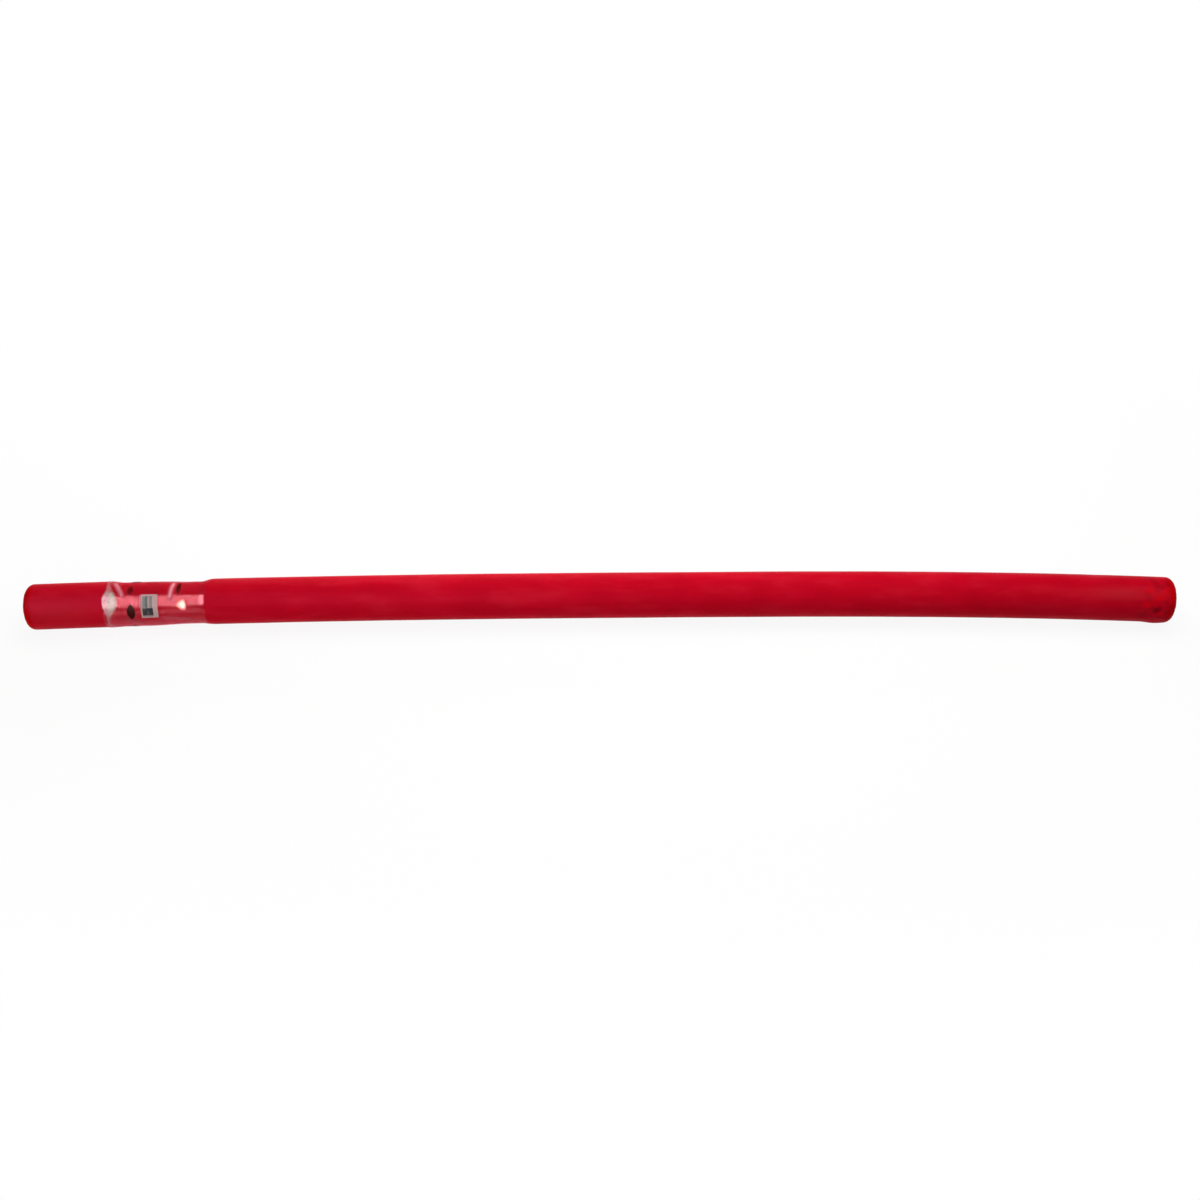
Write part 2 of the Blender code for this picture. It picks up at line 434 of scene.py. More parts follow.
def make_lamps():
    """Soft studio light: boxes behind, above and in front, lamps for the film's gloss, and end boxes."""
    axis = NOODLE_RADIUS
    add_softbox("low_back_softbox", place=(-0.36, 0.95, 0.30), aim=(-0.18, 0.0, axis), size=(1.1, 0.5),
                watts=8.5, in_gloss=False)
    add_softbox("top_softbox", place=(0.26, 0.31, 1.22), aim=(0.13, 0.0, axis), size=(1.4, 0.8), watts=16.8)
    add_softbox("overhead_softbox", place=(-0.42, -0.31, 1.20), aim=(-0.21, 0.0, axis), size=(1.0, 0.6),
                watts=1.5)
    add_softbox("low_front_softbox", place=(-0.55, -1.26, 0.28), aim=(-0.27, 0.0, axis), size=(1.3, 0.5),
                watts=7.7)
    add_softbox("film_glare_strip", place=(-1.10, -0.72, 1.74), aim=(-1.10, 0.0, 0.04), size=(1.10, 1.9),
                watts=118.0, on_matte=False)
    add_softbox("film_shoulder_strip", place=(-2.35, -0.72, 1.74), aim=(-2.35, 0.0, 0.04), size=(1.30, 1.9),
                watts=320.0, on_matte=False)
    add_softbox("film_glint_lamp", place=(-0.48, -1.434, 1.313), aim=(-0.58, 0.0, 0.04), size=(0.27, 0.27),
                watts=66.0, colour=(1.0, 1.0, 0.64), on_matte=False)
    for side, name in ((-1.0, "left_end_softbox"), (1.0, "right_end_softbox")):
        add_softbox(name, place=(side * 2.0, 0.0, 0.12), aim=(side * NOODLE_LENGTH / 2, 0.0, axis),
                    size=(0.5, 0.2), watts=3.4, in_gloss=False)


make_camera()
make_floor()
make_world()
make_lamps()
bpy.context.scene.view_settings.view_transform = "Standard"


# Foam noodle.

def foam_outline(bm):
    """Half section of the foam wall as a closed outline: straight runs joined by rounded corners."""
    inner = [bm.verts.new((s, 0.0, BORE_RADIUS)) for s in (0.0, NOODLE_LENGTH)]
    outer = [bm.verts.new((s, 0.0, NOODLE_RADIUS)) for s in (NOODLE_LENGTH, 0.0)]
    corners = inner + outer
    for first, second in zip(corners, corners[1:] + corners[:1]):
        bm.edges.new((first, second))
    round_corners(bm, outer, END_ROUND, RIM_STEPS)
    inner = [v for v in bm.verts if v.co.z < BORE_RADIUS + MERGE_DISTANCE]
    round_corners(bm, inner, BORE_EDGE_ROUND, BORE_EDGE_STEPS)


def subdivide_runs(bm):
    """Cut the outline's straight runs into short pieces, finer on the skin than in the bore."""
    for edge in list(bm.edges):
        length = edge.calc_length()
        middle = (edge.verts[0].co + edge.verts[1].co) / 2
        if length > NOODLE_LENGTH / 2:
            on_skin = middle.z > (NOODLE_RADIUS + BORE_RADIUS) / 2
            spacing = SKIN_RING_SPACING if on_skin else BORE_RING_SPACING
            bmesh.ops.subdivide_edges(bm, edges=[edge], cuts=round(length / spacing) - 1)
        elif length > END_ROUND / 2:
            bmesh.ops.subdivide_edges(bm, edges=[edge], cuts=END_FACE_RINGS)


Patch = namedtuple("Patch", "station angle length width amount")


def patch(station, degrees, length, width, amount):
    """A patch of the skin: its middle, its reach along and round from there, and its depth or strength."""
    return Patch(station, math.radians(degrees), length, width, amount)


def patch_share(patches, station, angle, full=1.0):
    """How strongly patches act on a place, from 0 to 1. Full is the amount that counts as 1."""
    share = 0.0
    for place in patches:
        along = (station - place.station) / place.length
        sideways = turn_between(place.angle, angle) * NOODLE_RADIUS / place.width
        share += place.amount / full * ease(1.0 - math.hypot(along, sideways))
    return min(max(share, 0.0), 1.0)


# Shallow dents that storage leaves in the skin, away from the sleeve: least and most sizes.
STORAGE_DENT_COUNT = 18
STORAGE_SEED = 5
STORAGE_STATIONS = (SLEEVE_END + 0.05, NOODLE_LENGTH - 0.08)
STORAGE_LENGTHS = (0.012, 0.035)
STORAGE_WIDTHS = (0.008, 0.016)
STORAGE_DEPTHS = (0.00012, 0.00035)


def storage_dents():
    """Dents at random places and of random sizes within those limits."""
    draw = random.Random(STORAGE_SEED)
    dents = []
    for _ in range(STORAGE_DENT_COUNT):
        station = draw.uniform(*STORAGE_STATIONS)
        degrees = draw.uniform(-180.0, 180.0)
        length = draw.uniform(*STORAGE_LENGTHS)
        width = draw.uniform(*STORAGE_WIDTHS)
        dents.append(patch(station, degrees, length, width, draw.uniform(*STORAGE_DEPTHS)))
    return dents


# The handled right end: dents on the viewer's side and on top, and a bulge under them.
DEEPEST_DENT = 0.0018
RIGHT_END_DENTS = [
    patch(1.4740, 23.0, 0.0085, 0.0075, DEEPEST_DENT),
    patch(1.4565, 10.0, 0.010, 0.007, 0.0007),
    patch(1.4638, 55.0, 0.008, 0.006, 0.0004),
    patch(1.4729, 87.0, 0.008, 0.008, 0.0006),
    patch(1.4890, 96.0, 0.007, 0.010, 0.0011),
    patch(1.4880, 18.0, 0.007, 0.006, 0.0009),
    patch(1.4790, -36.0, 0.019, 0.016, -0.0014),
]
DENTS = storage_dents() + RIGHT_END_DENTS

# Painted light: where the right end is a brighter, purer red between its dents.
LIT_PATCH_PLACES = [
    patch(1.4599, 39.0, 0.009, 0.007, 0.9),
    patch(1.4794, 16.0, 0.007, 0.007, 0.9),
    patch(1.4650, 74.0, 0.010, 0.008, 0.7),
    patch(1.4770, 57.0, 0.011, 0.008, 0.9),
    patch(1.4860, 76.0, 0.008, 0.012, 0.8),
]

# Where the skin is a paler, greyer red in faint patches.
PALE_PATCH_PLACES = [
    patch(0.0450, 38.0, 0.095, 0.025, 0.60),
    patch(1.4250, 66.0, 0.075, 0.015, 0.75),
]

# A place where the film bridges the foam in a flat facet, which mirrors a lamp as one round glint.
FACET_STATION = SLEEVE_START + 0.1028
FACET_ANGLE = math.radians(48.2)
FACET_HALF_LENGTH = 0.0038
FACET_HALF_WIDTH = math.radians(13.5)
FACET_EDGE = 0.45
FACET_TILT = math.radians(8.0)


def facet_depth(station, angle):
    """How far the flat facet lies under the round surface."""
    turn = abs(turn_between(FACET_ANGLE, angle))
    reach = math.hypot((station - FACET_STATION) / FACET_HALF_LENGTH, turn / FACET_HALF_WIDTH)
    if turn > FACET_HALF_WIDTH or reach > 1.0 + FACET_EDGE:
        return 0.0
    flat = (NOODLE_RADIUS - TIGHT_SQUEEZE) * (1.0 - math.cos(FACET_HALF_WIDTH) / math.cos(turn))
    flat += (station - FACET_STATION) * math.tan(FACET_TILT)
    return flat * ease((1.0 + FACET_EDGE - reach) / FACET_EDGE)


# Waves in the skin: their height, and how close they lie along and round the noodle.
SKIN_WAVES = [
    (0.00016, 9.0, 0.8),
    (0.00009, 38.0, 2.2),
    (0.00006, 4.0, 6.5),
    (0.00005, 160.0, 5.0),
]


def skin_relief(station, angle):
    """Unevenness of the skin in metres: waves, faint extrusion ribs, dents and the facet."""
    relief = sum(height * wave(station, angle, along, around) for height, along, around in SKIN_WAVES)
    for dent in DENTS:
        away = station - dent.station
        if abs(away) < dent.length:
            sideways = turn_between(dent.angle, angle) * NOODLE_RADIUS
            relief -= dent.amount * hump(away, dent.length) * hump(sideways, dent.width)
    return relief - facet_depth(station, angle)


# Cut end faces: torn cells, knife chatter and a slight dish round the bore.
TORN_HEIGHT = 0.00030
TORN_CLOSENESS = 420.0
CHATTER_HEIGHT = 0.00010
CHATTER_CLOSENESS = (60.0, 900.0)
DISH_DEPTH = 0.0006
DISH_REACH = 0.010

# Unevenness of the bore's wall.
BORE_HEIGHT = 0.00015
BORE_CLOSENESS = (70.0, 300.0)

# The skin's relief fades to nothing within the foam's wall, in shares of the wall from the bore.
RELIEF_FROM = 0.45
RELIEF_RUN = 0.50


def end_relief(across, up, side):
    """Unevenness of a cut end face, outwards in metres. The side, -1 or 1, makes the two ends differ."""
    torn = noise.noise(Vector((across * TORN_CLOSENESS, up * TORN_CLOSENESS, side * 3.7)))
    chatter = noise.noise(Vector((across * CHATTER_CLOSENESS[0], up * CHATTER_CLOSENESS[1], side * 1.3)))
    dish = hump(math.hypot(across, up) - BORE_RADIUS, DISH_REACH)
    return TORN_HEIGHT * torn + CHATTER_HEIGHT * chatter - DISH_DEPTH * dish


def shape_foam_point(station, across, up):
    """Station, radius and angle of a point of the straight foam once it is uneven and squeezed."""
    radius = math.hypot(across, up)
    angle = math.atan2(up, -across)
    wall_share = (radius - BORE_RADIUS) / (NOODLE_RADIUS - BORE_RADIUS)
    skin = ease((wall_share - RELIEF_FROM) / RELIEF_RUN)
    radius += skin * (skin_relief(station, angle) - squeeze(station, angle))
    from_end = min(station, NOODLE_LENGTH - station)
    side = -1.0 if station < NOODLE_LENGTH / 2 else 1.0
    if from_end < END_ROUND:
        station += side * ease(1.0 - from_end / END_ROUND) * end_relief(across, up, side)
    if skin < 0.5 and from_end > 0.0:
        along, around = BORE_CLOSENESS
        radius += BORE_HEIGHT * noise.noise(Vector((station * along, across * around, up * around)))
    return station, radius, angle


# How deep the look of cut foam goes at the ends and in the bore, and how far it stays from the skin.
CUT_DEPTH = 0.004
CUT_BORE_DEPTH = 0.002
CUT_MARGIN = 0.006
CUT_FADE = 0.003

# How far the purer red of the rounded rims, painted light where they turn from the sheen, runs past the
# rounding, and the length that it fades over.
RIM_MARGIN = 0.004
RIM_FADE = 0.005

# Lengths of the right end that is mottled light and dark, that the mottling fades over, and that is
# darkened at its edge as painted shade.
MOTTLED_RUN = 0.055
MOTTLED_FADE = 0.030
EDGE_SHADE_RUN = 0.0050

# What the foam's points tell its material, each from 0 to 1.
SHAPE_MARKS = ("cut_foam", "foam_rim_painted_light", "foam_mottling", "foam_edge_painted_shade")
PLACE_MARKS = ("foam_dent_painted_shade", "foam_painted_light_patches", "foam_pale_patches")


def shape_marks(straight):
    """The shape marks of a point of the straight foam, in their order."""
    radius = math.hypot(straight.y, straight.z)
    from_right = NOODLE_LENGTH - straight.x
    from_end = min(straight.x, from_right)
    end_face = ease((NOODLE_RADIUS - CUT_MARGIN - radius) / CUT_FADE) * ease(1.0 - from_end / CUT_DEPTH)
    bore = ease((BORE_RADIUS + CUT_BORE_DEPTH - radius) / CUT_BORE_DEPTH)
    # Painted light: the rounded rims, turned from the sheen, show a purer red.
    rim_light = ease((END_ROUND + RIM_MARGIN - from_end) / RIM_FADE)
    mottled_end = ease((MOTTLED_RUN - from_right) / MOTTLED_FADE)
    # Painted shade along the right end's edge.
    edge_shade = ease((EDGE_SHADE_RUN - from_right) / EDGE_SHADE_RUN)
    return max(end_face, bore), rim_light, mottled_end, edge_shade


def place_marks(station, angle):
    """The place marks of the uneven foam, in their order."""
    # Painted shade in the right end's dents, and painted light between them.
    dent = patch_share(RIGHT_END_DENTS, station, angle, DEEPEST_DENT)
    lit_patches = patch_share(LIT_PATCH_PLACES, station, angle)
    pale_patch = patch_share(PALE_PATCH_PLACES, station, angle)
    return dent, lit_patches, pale_patch


def make_foam():
    """The bowed foam tube, spun from its outline and then made uneven."""
    bm = bmesh.new()
    foam_outline(bm)
    subdivide_runs(bm)
    spin_round(bm, FOAM_SIDES)
    layers = [bm.verts.layers.float.new(name) for name in SHAPE_MARKS + PLACE_MARKS]
    for v in bm.verts:
        station, radius, angle = shape_foam_point(*v.co)
        for layer, value in zip(layers, shape_marks(v.co) + place_marks(station, angle)):
            v[layer] = value
        v.co = rest_on_floor(on_noodle(station, radius, angle), FLOOR_CONTACT)
    return build_object("foam_noodle_skin", bm)


# Cells in the skin and where the foam is cut, in cells to the metre.
CELL_SCALE = 760.0
OPEN_CELL_SCALE = 500.0

# How the foam's patterns are drawn out along the noodle.
CELL_STRETCH = (0.62, 1.0, 1.0)
STREAK_STRETCH = (0.03, 1.0, 1.0)
BLOOM_STRETCH = (0.30, 1.0, 1.0)

# Reds of the skin, of its cell walls and of the cut foam, and the darker red painted as shade in its pits.
DEEP_RED = (0.450, 0.0014, 0.0105, 1.0)
BRIGHT_RED = (0.600, 0.0026, 0.0175, 1.0)
WALL_RED = (0.430, 0.0016, 0.0085, 1.0)
CUT_RED = (0.740, 0.0330, 0.0520, 1.0)
PIT_SHADE_RED = (0.300, 0.0030, 0.0100, 1.0)

# Reds of the bloom, of the skin that is bare of it, and of the paler patches.
BLOOM_RED = (0.585, 0.0115, 0.0280, 1.0)
BARE_RED = (0.430, 0.0008, 0.0070, 1.0)
PALE_PATCH_RED = (0.535, 0.0230, 0.0360, 1.0)

# Reds of the rims' painted light, and at the right end of the bright mottling and painted light,
# of the dark mottling and painted edge shade, and of the painted shade in its dents.
RIM_PAINTED_LIGHT_RED = (0.510, 0.0003, 0.0012, 1.0)
BRIGHT_MOTTLE_AND_LIGHT_RED = (0.690, 0.0010, 0.0040, 1.0)
DARK_MOTTLE_AND_SHADE_RED = (0.270, 0.0012, 0.0060, 1.0)
DENT_SHADE_RED = (0.140, 0.0008, 0.0030, 1.0)

# How far the cells, streaks and blotches each lift the skin from its deep red to its bright red.
CELL_TONE = 0.16
STREAK_TONE = 0.22
BLOTCH_TONE = 0.30

# How much of the colour under them the other marks hide where they are strongest.
WALL_SHARE = 0.35
PIT_SHADE_SHARE = 0.75
BLOOM_SHARE = 0.38
BARE_SHARE = 0.30
PALE_PATCH_SHARE = 0.60
BRIGHT_MOTTLE_SHARE = 0.35
LIT_PATCH_SHARE = 0.85
DARK_MOTTLE_SHARE = 0.40
EDGE_SHADE_SHARE = 0.70
DENT_SHADE_SHARE = 0.80

# Height of the grain and depth of the pits, where a cell's dome is 1.
GRAIN_HEIGHT = 0.25
PIT_DEPTH = 2.5


def foam_bloom(recipe, place, colour):
    """A faint pale bloom in long patches, darker red between them."""
    patches = recipe.clouds(recipe.stretched(place, BLOOM_STRETCH), scale=52.0, detail=3.0)
    colour = recipe.blend(recipe.between(patches, 0.46, 0.70, 0.0, BLOOM_SHARE), colour, BLOOM_RED)
    return recipe.blend(recipe.between(patches, 0.30, 0.46, BARE_SHARE, 0.0), colour, BARE_RED)


def foam_mottling(recipe, place, colour):
    """Paler patches, rims' painted light, and the right end's mottling and painted light and shade."""
    mottled_end = recipe.mark("foam_mottling")
    end_mottle = recipe.clouds(place, scale=85.0, detail=2.0)
    pale_patch_share = recipe.math("MULTIPLY", recipe.mark("foam_pale_patches"), PALE_PATCH_SHARE)
    colour = recipe.blend(pale_patch_share, colour, PALE_PATCH_RED)
    # Painted light: the rounded rims, turned from the sheen, show a purer red.
    colour = recipe.blend(recipe.mark("foam_rim_painted_light"), colour, RIM_PAINTED_LIGHT_RED)
    bright = recipe.math("MULTIPLY", mottled_end, recipe.between(end_mottle, 0.52, 0.64, 0.0, BRIGHT_MOTTLE_SHARE))
    # Painted light: a brighter, purer red between the right end's dents.
    lit_patches = recipe.math("MULTIPLY", recipe.mark("foam_painted_light_patches"), LIT_PATCH_SHARE)
    colour = recipe.blend(recipe.math("MAXIMUM", bright, lit_patches), colour, BRIGHT_MOTTLE_AND_LIGHT_RED)
    dark = recipe.math("MULTIPLY", mottled_end, recipe.between(end_mottle, 0.36, 0.48, DARK_MOTTLE_SHARE, 0.0))
    # Painted shade along the right end's edge, in the dark mottling's red.
    edge_shade = recipe.math("MULTIPLY", recipe.mark("foam_edge_painted_shade"), EDGE_SHADE_SHARE)
    colour = recipe.blend(recipe.math("MAXIMUM", dark, edge_shade), colour, DARK_MOTTLE_AND_SHADE_RED)
    # Painted shade in the right end's deep dents.
    return recipe.blend(recipe.math("MULTIPLY", recipe.mark("foam_dent_painted_shade"), DENT_SHADE_SHARE), colour, DENT_SHADE_RED)


def foam_skin_colour(recipe, place, streaks, cells, walls):
    """Red skin: cells, streaks, blotches, bloom, paler patches, mottling, painted light and shade."""
    blotches = recipe.clouds(place, scale=26.0, detail=4.0)
    tone = recipe.math("MULTIPLY", cells["Color"], CELL_TONE)
    tone = recipe.math("ADD", tone, recipe.between(streaks, 0.25, 0.75, 0.0, STREAK_TONE))
    tone = recipe.math("ADD", tone, recipe.between(blotches, 0.30, 0.70, 0.0, BLOTCH_TONE))
    wall_line = recipe.between(walls["Distance"], 0.0, 0.10, 1.0, 0.0)
    colour = recipe.blend(tone, DEEP_RED, BRIGHT_RED)
    colour = recipe.blend(recipe.math("MULTIPLY", wall_line, WALL_SHARE), colour, WALL_RED)
    return foam_mottling(recipe, place, foam_bloom(recipe, place, colour))


def foam_bump(recipe, place, cut, cells, pit):
    """Domed cells with a fine grain on the skin, and pits where the foam is cut."""
    grain = recipe.clouds(place, scale=2600.0, detail=2.0)
    dome = recipe.math("SUBTRACT", 1.0, cells["Distance"])
    skin_height = recipe.math("MULTIPLY", recipe.math("MULTIPLY_ADD", grain, GRAIN_HEIGHT, dome),
                              recipe.math("SUBTRACT", 1.0, cut))
    cut_height = recipe.math("MULTIPLY", recipe.math("MULTIPLY", pit, -PIT_DEPTH), cut)
    return recipe.bump(recipe.math("ADD", skin_height, cut_height), strength=0.45, distance=0.00022)


def foam_material():
    """Red closed-cell foam: fine cells, extrusion streaks, and open cells where it is cut."""
    recipe = Recipe(bpy.data.materials.new("red_cell_foam"))
    place = recipe.object_place()
    cut = recipe.mark("cut_foam")
    long_place = recipe.stretched(place, CELL_STRETCH)
    streaks = recipe.clouds(recipe.stretched(place, STREAK_STRETCH), scale=340.0, detail=3.0)
    cells = recipe.cells(long_place, CELL_SCALE, "F1")
    walls = recipe.cells(long_place, CELL_SCALE, "DISTANCE_TO_EDGE")
    open_cells = recipe.cells(place, OPEN_CELL_SCALE, "DISTANCE_TO_EDGE")
    pit = recipe.between(open_cells["Distance"], 0.02, 0.22)
    skin_colour = foam_skin_colour(recipe, place, streaks, cells, walls)
    # Painted shade: a darker red in the pits of the open cells.
    cut_colour = recipe.blend(recipe.math("MULTIPLY", pit, PIT_SHADE_SHARE), CUT_RED, PIT_SHADE_RED)
    rough = recipe.between(streaks, 0.3, 0.7, 0.36, 0.50)
    rough = recipe.math("ADD", rough, recipe.math("MULTIPLY", cut, 0.25), clamp=True)
    return recipe.finish(recipe.shader("ShaderNodeBsdfPrincipled", {
        "Base Color": recipe.blend(cut, skin_colour, cut_colour), "Roughness": rough,
        "Normal": foam_bump(recipe, place, cut, cells, pit),
        "Specular IOR Level": 0.02, "Specular Tint": (1.0, 0.10, 0.40, 1.0),
        "Sheen Weight": 0.025, "Sheen Roughness": 0.45, "Sheen Tint": (1.0, 0.0, 0.55, 1.0)}))


# Film sleeve.

# The film's left edge flares, stands in pleats and runs a little ragged.
FLARE_HEIGHT = 0.00025
FLARE_RUN = 0.008
PLEAT_HEIGHT = 0.00032
PLEAT_RUN = 0.020
PLEATS_ROUND = 11.0
RAGGED_LENGTH = 0.0009
RAGGED_RUN = 0.012

# Ripples and fine crinkles all over, which calm down under the sticker and on the facet.
RIPPLE_HEIGHT = 0.00014
CRINKLE_HEIGHT = 0.00005
STICKER_CALM = 0.8
STICKER_CALM_REACH = 0.007
FACET_RIPPLE_SHARE = 0.15

# The noodle's weight holds the film down on its underside.
UNDERNEATH = math.radians(-90.0)
UNDERNEATH_REACH = math.radians(75.0)

# The flattened weld along the film at the back, and the puckers that shrinking gives it.
WELD_ANGLE = math.radians(186.0)
WELD_HEIGHT = 0.00045
WELD_WIDTH = 0.0022
PUCKER_HEIGHT = 0.0004
PUCKER_WIDTH = 0.0060
PUCKER_CLOSENESS = 260.0

# How far a fold runs past its ends and how long it takes to rise, in shares of its length.
FOLD_OVERRUN = 0.3
FOLD_RISE = 0.4

# The painted highlight of a fold reaches farther to each side than the fold, and is full at this height.
FOLD_SPREAD = 1.5
FULL_FOLD_HIGHLIGHT_HEIGHT = 0.0007

Crease = namedtuple("Crease", "start end height width")


def crease(start, end, height, width):
    """A fold in the film between two places, each a distance inside the sleeve and an angle in degrees."""
    start = (start[0], math.radians(start[1]))
    end = (end[0], math.radians(end[1]))
    return Crease(start, end, height, width)


CREASES = [
    crease((0.0128, 120.0), (0.0247, 78.0), 0.00055, 0.0038),
    crease((0.0888, 116.0), (0.0864, 68.0), 0.0007, 0.0035),
    crease((0.0300, 8.0), (0.0480, -6.0), 0.0002, 0.0045),
    crease((0.0780, 12.0), (0.1100, 4.0), 0.0002, 0.0045),
    crease((0.0180, 196.0), (0.0730, 160.0), 0.00028, 0.0024),
    crease((0.0680, 150.0), (0.1160, 132.0), 0.00026, 0.0024),
    crease((0.0380, 230.0), (0.0600, 205.0), 0.00022, 0.0022),
]


def crease_height(fold, inside, angle, spread=1.0):
    """Height of one fold at a place on the sleeve, with its width multiplied by the spread."""
    start = Vector((fold.start[0], 0.0))
    end = Vector((fold.end[0], turn_between(fold.start[1], fold.end[1]) * NOODLE_RADIUS))
    here = Vector((inside, turn_between(fold.start[1], angle) * NOODLE_RADIUS))
    along = (here - start).dot(end - start) / (end - start).length_squared
    if not -FOLD_OVERRUN < along < 1.0 + FOLD_OVERRUN:
        return 0.0
    away = (here - start - (end - start) * along).length
    risen = ease((along + FOLD_OVERRUN) / FOLD_RISE) * ease((1.0 + FOLD_OVERRUN - along) / FOLD_RISE)
    return fold.height * hump(away, fold.width * spread) * risen


def fold_highlight_share(inside, angle):
    """How strongly the folds' painted highlight lies on the film at a place, from 0 to 1."""
    highlighted = sum(crease_height(fold, inside, angle, FOLD_SPREAD) for fold in CREASES)
    return min(1.0, highlighted / FULL_FOLD_HIGHLIGHT_HEIGHT)


def under_sticker(station, angle):
    """1 where the sticker holds the film smooth, fading out round it."""
    along = abs(station - STICKER_STATION) - STICKER_LENGTH / 2
    across = abs(turn_between(STICKER_ANGLE, angle)) * NOODLE_RADIUS - STICKER_HEIGHT / 2
    return ease(1.0 - max(along, across) / STICKER_CALM_REACH)


def weld_height(inside, angle):
    """How far the weld and its puckers stand off."""
    sideways = turn_between(WELD_ANGLE, angle) * NOODLE_RADIUS
    pucker = 0.5 + 0.5 * noise.noise(Vector((inside * PUCKER_CLOSENESS, 3.0, 7.0)))
    return WELD_HEIGHT * hump(sideways, WELD_WIDTH) + PUCKER_HEIGHT * pucker * hump(sideways, PUCKER_WIDTH)


def edge_height(inside, angle):
    """How far the film's left edge stands off: its flare and its pleats, which vary round it."""
    flare = FLARE_HEIGHT * ease(1.0 - inside / FLARE_RUN)
    pleat = 0.5 + 0.5 * math.sin(angle * PLEATS_ROUND + 0.8)
    uneven = 0.5 + ring_wave(angle, around=1.7, shift=4.0)
    return flare + PLEAT_HEIGHT * ease(1.0 - inside / PLEAT_RUN) * uneven * pleat


def sleeve_lift(station, angle):
    """How far the film stands off its tightest place: edge, ripples, weld, folds and facet."""
    inside = station - SLEEVE_START
    free = 1.0 - hump(turn_between(UNDERNEATH, angle), UNDERNEATH_REACH)
    calm = 1.0 - STICKER_CALM * under_sticker(station, angle)
    ripple = RIPPLE_HEIGHT * (1.0 + wave(inside, angle, along=70.0, around=2.4, shift=9.0))
    crinkle = CRINKLE_HEIGHT * (1.0 + wave(inside, angle, along=190.0, around=6.5, shift=5.0))
    rippled = (ripple + crinkle) * calm
    facet = facet_depth(station, angle)
    if facet > 0.0:
        rippled *= FACET_RIPPLE_SHARE
    folds = sum(crease_height(fold, inside, angle) for fold in CREASES) * calm
    return (edge_height(inside, angle) + rippled + weld_height(inside, angle) + folds) * free - facet


def film_radius(station, angle):
    """Inner radius of the visible film."""
    return NOODLE_RADIUS - squeeze(station, angle) + CLEARANCE + sleeve_lift(station, angle)


def wrap_map(bm, angle_of):
    """UV map in metres: along the sleeve from its left edge, and round it from the viewer's side."""
    layer = bm.loops.layers.uv.new("sleeve_print")
    for face in bm.faces:
        middle = angle_of[face.verts[0]]
        for loop in face.loops:
            turn = middle + turn_between(middle, angle_of[loop.vert])
            loop[layer].uv = (loop.vert.co.x - SLEEVE_START, turn * NOODLE_RADIUS)


def face_outwards(bm):
    """Turn the faces of a straight open tube away from its axis."""
    outward = 0.0
    for face in bm.faces:
        middle = face.calc_center_median()
        outward += face.normal.dot(Vector((0.0, middle.y, middle.z)))
    if outward < 0.0:
        bmesh.ops.reverse_faces(bm, faces=bm.faces)


def make_sleeve():
    """The film, spun from a straight line and lifted into its folds."""
    bm = bmesh.new()
    ends = [bm.verts.new((s, 0.0, NOODLE_RADIUS)) for s in (SLEEVE_START, SLEEVE_END)]
    line = bm.edges.new(ends)
    bmesh.ops.subdivide_edges(bm, edges=[line], cuts=round(SLEEVE_LENGTH / FILM_RING_SPACING) - 1)
    spin_round(bm, FILM_SIDES)
    face_outwards(bm)
    fold_highlight_layer = bm.verts.layers.float.new("fold_painted_highlight")
    angle_of = {v: math.atan2(v.co.z, -v.co.y) for v in bm.verts}
    wrap_map(bm, angle_of)
    for v, angle in angle_of.items():
        station = v.co.x
        inside = station - SLEEVE_START
        # Painted highlight along the folds.
        v[fold_highlight_layer] = fold_highlight_share(inside, angle)
        ragged = ring_wave(angle, around=2.5, shift=1.0) * ease(1.0 - inside / RAGGED_RUN)
        point = on_noodle(station + RAGGED_LENGTH * ragged, film_radius(station, angle), angle)
        v.co = rest_on_floor(point, FLOOR_CONTACT + FILM_THICKNESS)
    sleeve = build_object("film_sleeve_printed", bm)
    thicken(sleeve, "film_thickness", FILM_THICKNESS)
    return sleeve


# The film's gloss: the share of light that it mirrors straight on, and what is added at a glance.
STRAIGHT_GLOSS = 0.013
TIGHT_GLOSS = 0.02
LOOSE_GLOSS = 0.20

# The film is stretched tightest over the noodle's top and back, where it mirrors least, and it is
# tight up to one turn from there and loose from another on.
TIGHT_FILM_ANGLE = math.radians(120.0)
TIGHT_FILM_TURN = math.radians(70.0)
LOOSE_FILM_TURN = math.radians(105.0)

# Colours of the film: clear, in gloss, cloudy from haze, and pale pink for the painted highlight on folds.
CLEAR_TINT = (0.97, 0.94, 0.95, 1.0)
GLOSS_TINT = (1.0, 0.31, 0.38, 1.0)
HAZE_TINT = (0.66, 0.05, 0.10, 1.0)
FOLD_HIGHLIGHT_TINT = (1.0, 0.33, 0.39, 1.0)
HAZE_SHARE = 0.04
FOLD_HIGHLIGHT_SHARE = 0.72

# Inks of the film's print: pink at its very edge, turning to cream along a run, and dark leaves.
# The pink and cream also paint the glare of the flared edge.
EDGE_PINK = (0.90, 0.40, 0.47, 1.0)
CREAM = (0.74, 0.62, 0.57, 1.0)
LEAF_DARK = (0.040, 0.0006, 0.0006, 1.0)
LEAF_BROWN = (0.048, 0.0070, 0.0014, 1.0)
CREAM_RUN = (0.003, 0.011)

